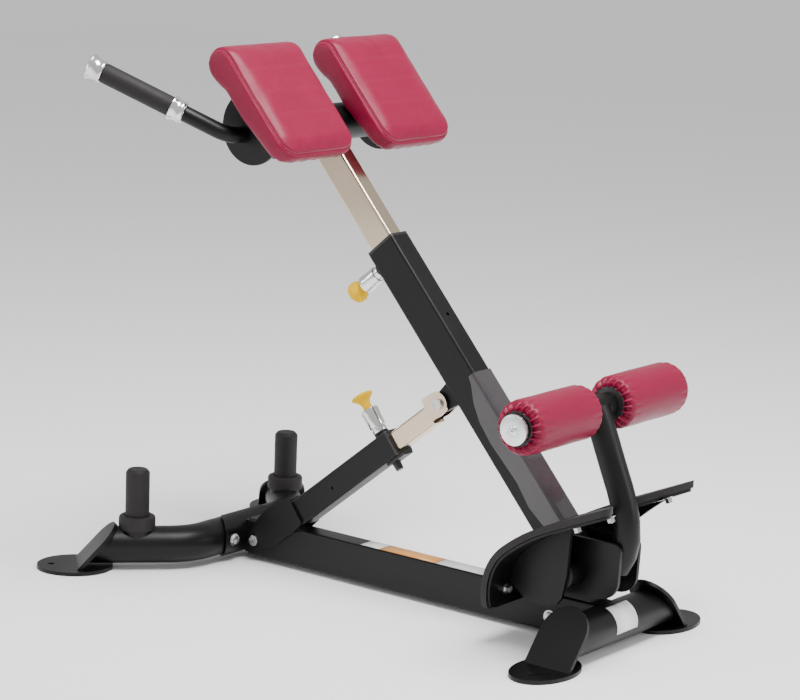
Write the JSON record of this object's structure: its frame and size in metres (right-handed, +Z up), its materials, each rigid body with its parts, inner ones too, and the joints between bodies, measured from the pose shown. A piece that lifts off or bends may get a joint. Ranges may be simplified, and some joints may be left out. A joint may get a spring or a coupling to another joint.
{
  "type": "roman chair",
  "caption": "Adjustable roman chair: tilting post on a four-footed base, sliding split hip pads with handles, ankle rollers, angled foot treads and plate pegs.",
  "frame": {"origin": "on the floor under the middle of the bounding box", "axes": "+Z up, +X toward the foot treads, the user's left on -Y"},
  "size_m": [1.2404, 0.8022, 1.0849],
  "materials": {
    "frame_black": "satin powder coat",
    "chrome": "bright nickel chrome plate",
    "zinc": "zinc plated",
    "aluminium": "turned and polished",
    "rubber": "moulded, slightly textured",
    "plastic_black": "moulded",
    "guard_grey": "moulded, glossy",
    "knob_yellow": "moulded",
    "vinyl_red": "grained upholstery vinyl, sewn"
  },
  "bodies": {
    "base": {"base_tube": "frame_black", "front_cross_tube": "frame_black", "rear_cross_tube": "frame_black", "foot_front_left": "frame_black", "foot_front_right": "frame_black", "foot_rear_left": "frame_black", "foot_rear_right": "frame_black", "rear_saddle": "frame_black", "peg_left": "rubber", "peg_right": "rubber", "peg_collar_left": "rubber", "peg_collar_right": "rubber", "pivot_upright": "frame_black", "pivot_axle": "zinc", "strut_bolt": "zinc"},
    "post_frame": {"post_tube": "frame_black", "post_bushing": "plastic_black", "scuff_guard": "guard_grey", "pivot_bracket_left": "frame_black", "pivot_bracket_right": "frame_black", "tread_plate_left": "frame_black", "tread_plate_right": "frame_black", "tread_rubber_left": "rubber", "tread_rubber_right": "rubber", "roller_arm": "frame_black", "roller_axle": "zinc", "roller_cap_left": "aluminium", "roller_cap_right": "aluminium", "upper_pin_housing": "chrome", "post_lug": "frame_black"},
    "roller_left_spin": {"roller_pad_left": "vinyl_red", "roller_core_left": "plastic_black"},
    "roller_right_spin": {"roller_pad_right": "vinyl_red", "roller_core_right": "plastic_black"},
    "carriage": {"inner_tube": "chrome", "pad_crossbar": "frame_black", "pad_bracket_left": "frame_black", "pad_bracket_right": "frame_black", "handle_left": "frame_black", "handle_right": "frame_black", "grip_left": "rubber", "grip_right": "rubber", "grip_collar_left": "chrome", "grip_collar_right": "chrome", "grip_cap_left": "chrome", "grip_cap_right": "chrome", "pad_board_left": "frame_black", "pad_board_right": "frame_black", "hip_pad_left": "vinyl_red", "hip_pad_right": "vinyl_red"},
    "strut": {"strut_tube": "frame_black", "strut_fork": "frame_black", "strut_bushing": "plastic_black", "lower_pin_housing": "chrome"},
    "strut_slider": {"slider": "chrome", "slider_bolt": "zinc"},
    "upper_pull_pin": {"upper_pin": "zinc", "upper_knob": "knob_yellow"},
    "lower_pull_pin": {"lower_pin": "zinc", "lower_knob": "knob_yellow"}
  },
  "joints": [
    {"name": "post_tilt", "type": "hinge", "parent": "base", "child": "post_frame", "pos_m": [0.47921, 0, 0.146], "axis": [0, 1, 0], "range_deg": [-10, 5]},
    {"name": "strut_swing", "type": "hinge", "parent": "base", "child": "strut", "pos_m": [-0.31779, 0, 0.045], "axis": [0, 1, 0], "range_deg": [-1.3, 2.5]},
    {"name": "strut_slide", "type": "slide", "parent": "strut", "child": "strut_slider", "axis": [0.7778, 0, 0.6285], "range_m": [-0.074, 0.038]},
    {"name": "carriage_slide", "type": "slide", "parent": "post_frame", "child": "carriage", "axis": [-0.6613, 0, 0.7501], "range_m": [-0.135, 0.09]},
    {"name": "upper_pin_pull", "type": "slide", "parent": "post_frame", "child": "upper_pull_pin", "axis": [-0.7501, 0, -0.6613], "range_m": [0, 0.014], "stiffness_N_per_m": 1500, "springref_m": -0.006},
    {"name": "lower_pin_pull", "type": "slide", "parent": "strut", "child": "lower_pull_pin", "axis": [-0.6285, 0, 0.7778], "range_m": [0, 0.014], "stiffness_N_per_m": 1500, "springref_m": -0.006},
    {"name": "roller_left_turn", "type": "hinge", "parent": "post_frame", "child": "roller_left_spin", "pos_m": [0.48521, -0.15, 0.458], "axis": [0, 1, 0], "continuous": true},
    {"name": "roller_right_turn", "type": "hinge", "parent": "post_frame", "child": "roller_right_spin", "pos_m": [0.48521, 0.15, 0.458], "axis": [0, 1, 0], "continuous": true}
  ],
  "couplings": [
    {"joint": "strut_swing", "follows": "post_tilt", "ratio": -0.2314},
    {"joint": "strut_slide", "follows": "post_tilt", "m_per_rad": 0.4126}
  ]
}
